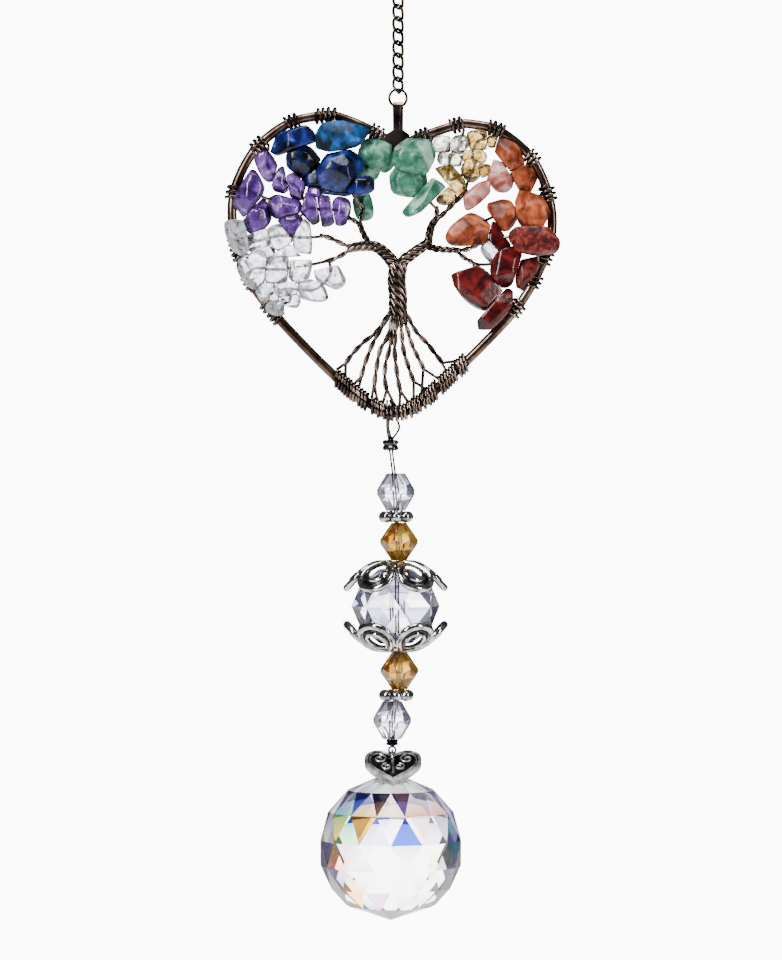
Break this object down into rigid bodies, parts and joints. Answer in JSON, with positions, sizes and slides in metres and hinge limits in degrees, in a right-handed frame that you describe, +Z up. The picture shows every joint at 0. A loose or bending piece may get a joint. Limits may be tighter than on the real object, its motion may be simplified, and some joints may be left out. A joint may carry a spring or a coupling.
{
  "type": "crystal suncatcher",
  "caption": "Hanging suncatcher: a gemstone wire tree inside a rod heart, on a short chain, with a beaded strand and a faceted crystal ball below.",
  "frame": {"origin": "inside top of the hanging ring, where a hook bears", "axes": "+Z up along the hanging length, +X to the right as seen from the front, the viewer at -Y"},
  "size_m": [0.0692, 0.03, 0.2008],
  "materials": {
    "copper": "antiqued copper plate, dark in the grooves and pink on the high spots",
    "bronze": "dark antiqued bronze, olive brown",
    "silver": "antiqued silver, black in the recesses and polished on the high spots",
    "lapis": "tumbled deep blue stone, polished",
    "aventurine": "tumbled mottled green stone, slightly see-through",
    "amethyst": "tumbled purple crystal",
    "quartz": "tumbled clear crystal with cloudy veils",
    "citrine": "tumbled honey-yellow crystal",
    "carnelian": "tumbled orange-brown stone, slightly see-through",
    "jasper": "tumbled dark red stone, polished",
    "crystal": "cut clear crystal",
    "amber": "cut honey-coloured crystal"
  },
  "bodies": {
    "root": {"hanging_ring": "bronze", "curb_chain": "bronze", "jump_ring": "bronze", "heart_frame": "copper", "bail": "copper", "wire_tree": "copper", "wire_lapis": "copper", "wire_amethyst": "copper", "wire_quartz_upper": "copper", "wire_quartz_lower": "copper", "wire_aventurine": "copper", "wire_citrine": "copper", "wire_carnelian": "copper", "wire_jasper": "copper", "lapis_chip_left": "lapis", "lapis_chip_middle": "lapis", "lapis_chip_top": "lapis", "lapis_chips_front": "lapis", "aventurine_chips_dip": "aventurine", "aventurine_chip_branch": "aventurine", "aventurine_chips_right": "aventurine", "aventurine_chip_long": "aventurine", "amethyst_chips_high": "amethyst", "amethyst_chips_outer": "amethyst", "amethyst_chips_middle": "amethyst", "amethyst_chips_inner": "amethyst", "quartz_chip_frame": "quartz", "quartz_chips_high": "quartz", "quartz_chips_tall": "quartz", "quartz_chips_low": "quartz", "quartz_chips_edge": "quartz", "quartz_chips_inner": "quartz", "citrine_chips_left": "citrine", "citrine_chips_right": "citrine", "carnelian_chips_high": "carnelian", "carnelian_chips_outer": "carnelian", "carnelian_chip_inner": "carnelian", "carnelian_chip_narrow": "carnelian", "carnelian_chip_pointed": "carnelian", "jasper_chip_frame": "jasper", "jasper_chips_middle": "jasper", "jasper_chip_triangle": "jasper", "jasper_chip_broad": "jasper", "jasper_chip_low": "jasper", "strand_wire": "silver", "crimp_upper": "silver", "clear_bicone_upper": "crystal", "spacer_upper": "silver", "amber_bicone_upper": "amber", "bead_cap_upper": "silver", "round_crystal": "crystal", "bead_cap_lower": "silver", "amber_bicone_lower": "amber", "spacer_lower": "silver", "clear_bicone_lower": "crystal", "crimp_lower": "silver", "link_ring": "silver", "ball_eye": "silver", "crystal_ball": "crystal", "heart_charm": "silver"}
  },
  "joints": []
}
